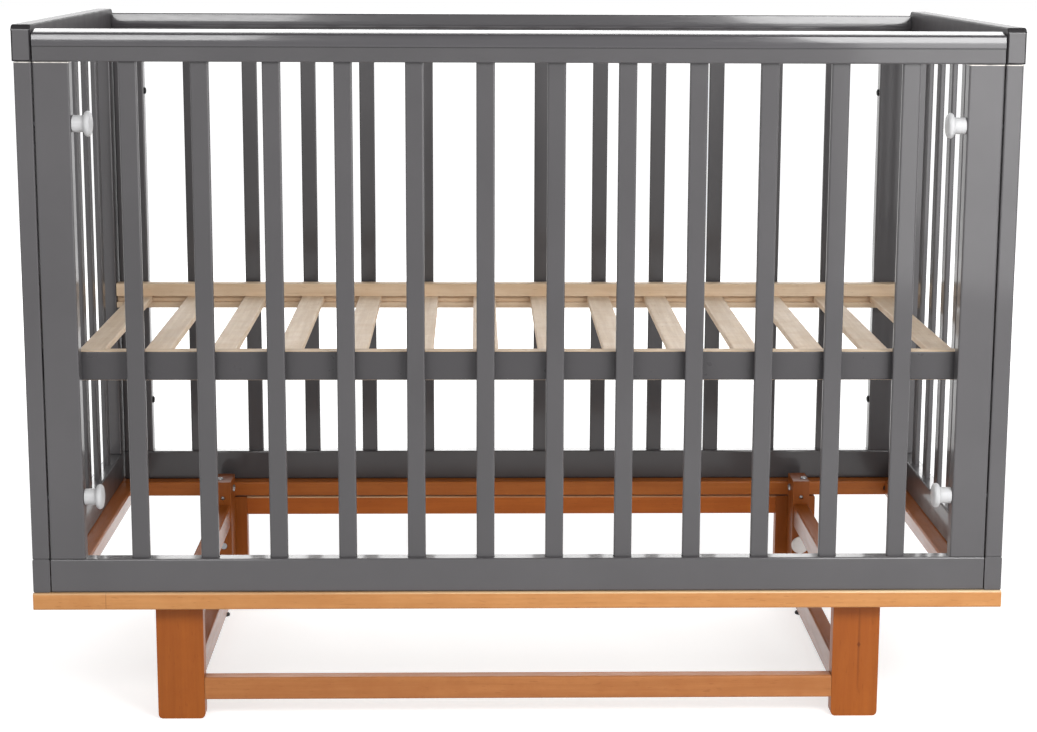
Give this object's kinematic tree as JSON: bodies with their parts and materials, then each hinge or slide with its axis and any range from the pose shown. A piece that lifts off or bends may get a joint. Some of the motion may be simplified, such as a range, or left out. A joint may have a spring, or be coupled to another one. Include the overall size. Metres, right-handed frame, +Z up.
{
  "type": "crib",
  "caption": "Slatted crib on a low beech stand, hung on short steel links so it swings lengthwise; pull pins hold its removable front frame.",
  "frame": {"origin": "on the floor, under the middle of the crib", "axes": "+X along the crib, to the right seen from the front; +Y from the front frame to the back one; +Z up"},
  "size_m": [1.254, 0.659, 0.9003],
  "materials": {
    "painted_frame": "satin grey lacquer on wood",
    "rail_guard": "glossy grey moulded plastic",
    "pale_wood": "bare pale wood, sanded",
    "beech": "orange-brown satin varnish on beech",
    "link_steel": "zinc plated",
    "white_plastic": "white moulded plastic"
  },
  "bodies": {
    "stand": {"front_left_leg": "beech", "front_right_leg": "beech", "back_left_leg": "beech", "back_right_leg": "beech", "left_low_bar": "beech", "right_low_bar": "beech", "front_stretcher": "beech", "back_beam": "beech"},
    "front_left_link": {"front_left_link": "link_steel"},
    "front_right_link": {"front_right_link": "link_steel"},
    "back_left_link": {"back_left_link": "link_steel"},
    "back_right_link": {"back_right_link": "link_steel"},
    "crib_body": {"left_end_top_rail": "painted_frame", "left_end_bottom_rail_with_slats": "painted_frame", "left_end_front_post": "painted_frame", "left_end_back_post": "painted_frame", "right_end_top_rail": "painted_frame", "right_end_bottom_rail_with_slats": "painted_frame", "right_end_front_post": "painted_frame", "right_end_back_post": "painted_frame", "front_top_rail": "painted_frame", "front_bottom_rail": "painted_frame", "front_left_stile": "painted_frame", "front_right_stile": "painted_frame", "front_slat_01": "painted_frame", "front_slat_02": "painted_frame", "front_slat_03": "painted_frame", "front_slat_04": "painted_frame", "front_slat_05": "painted_frame", "front_slat_06": "painted_frame", "front_slat_07": "painted_frame", "front_slat_08": "painted_frame", "front_slat_09": "painted_frame", "front_slat_10": "painted_frame", "front_slat_11": "painted_frame", "front_slat_12": "painted_frame", "front_rail_guard": "rail_guard", "back_top_rail": "painted_frame", "back_bottom_rail_with_slats": "painted_frame", "back_left_stile": "painted_frame", "back_right_stile": "painted_frame", "back_rail_guard": "rail_guard", "mattress_front_rail": "pale_wood", "mattress_back_rail_with_slats": "pale_wood", "base_front_rail": "beech", "base_back_rail": "beech", "base_left_rail": "beech", "base_right_rail": "beech", "front_left_arm": "beech", "front_right_arm": "beech", "back_left_arm": "beech", "back_right_arm": "beech", "left_hanger_bar": "beech", "right_hanger_bar": "beech"},
    "upper_left_pin": {"upper_left_pin": "white_plastic"},
    "upper_right_pin": {"upper_right_pin": "white_plastic"},
    "lower_left_pin": {"lower_left_pin": "white_plastic"},
    "lower_right_pin": {"lower_right_pin": "white_plastic"}
  },
  "joints": [
    {"name": "swing", "type": "hinge", "parent": "stand", "child": "front_left_link", "pos_m": [-0.442, -0.278, 0.14], "axis": [0, 1, 0], "range_deg": [-25, 25]},
    {"name": "crib_level", "type": "hinge", "parent": "front_left_link", "child": "crib_body", "pos_m": [-0.442, -0.278, 0.092], "axis": [0, 1, 0], "range_deg": [-25, 25]},
    {"name": "front_right_swing", "type": "hinge", "parent": "stand", "child": "front_right_link", "pos_m": [0.442, -0.278, 0.14], "axis": [0, 1, 0], "range_deg": [-25, 25]},
    {"name": "back_left_swing", "type": "hinge", "parent": "stand", "child": "back_left_link", "pos_m": [-0.442, 0.278, 0.14], "axis": [0, 1, 0], "range_deg": [-25, 25]},
    {"name": "back_right_swing", "type": "hinge", "parent": "stand", "child": "back_right_link", "pos_m": [0.442, 0.278, 0.14], "axis": [0, 1, 0], "range_deg": [-25, 25]},
    {"name": "upper_left_pull", "type": "slide", "parent": "crib_body", "child": "upper_left_pin", "axis": [1, 0, 0], "range_m": [0, 0.014], "stiffness_N_per_m": 300},
    {"name": "upper_right_pull", "type": "slide", "parent": "crib_body", "child": "upper_right_pin", "axis": [-1, 0, 0], "range_m": [0, 0.014], "stiffness_N_per_m": 300},
    {"name": "lower_left_pull", "type": "slide", "parent": "crib_body", "child": "lower_left_pin", "axis": [1, 0, 0], "range_m": [0, 0.014], "stiffness_N_per_m": 300},
    {"name": "lower_right_pull", "type": "slide", "parent": "crib_body", "child": "lower_right_pin", "axis": [-1, 0, 0], "range_m": [0, 0.014], "stiffness_N_per_m": 300}
  ],
  "couplings": [
    {"joint": "crib_level", "follows": "swing", "ratio": -1},
    {"joint": "front_right_swing", "follows": "swing", "ratio": 1},
    {"joint": "back_left_swing", "follows": "swing", "ratio": 1},
    {"joint": "back_right_swing", "follows": "swing", "ratio": 1}
  ]
}
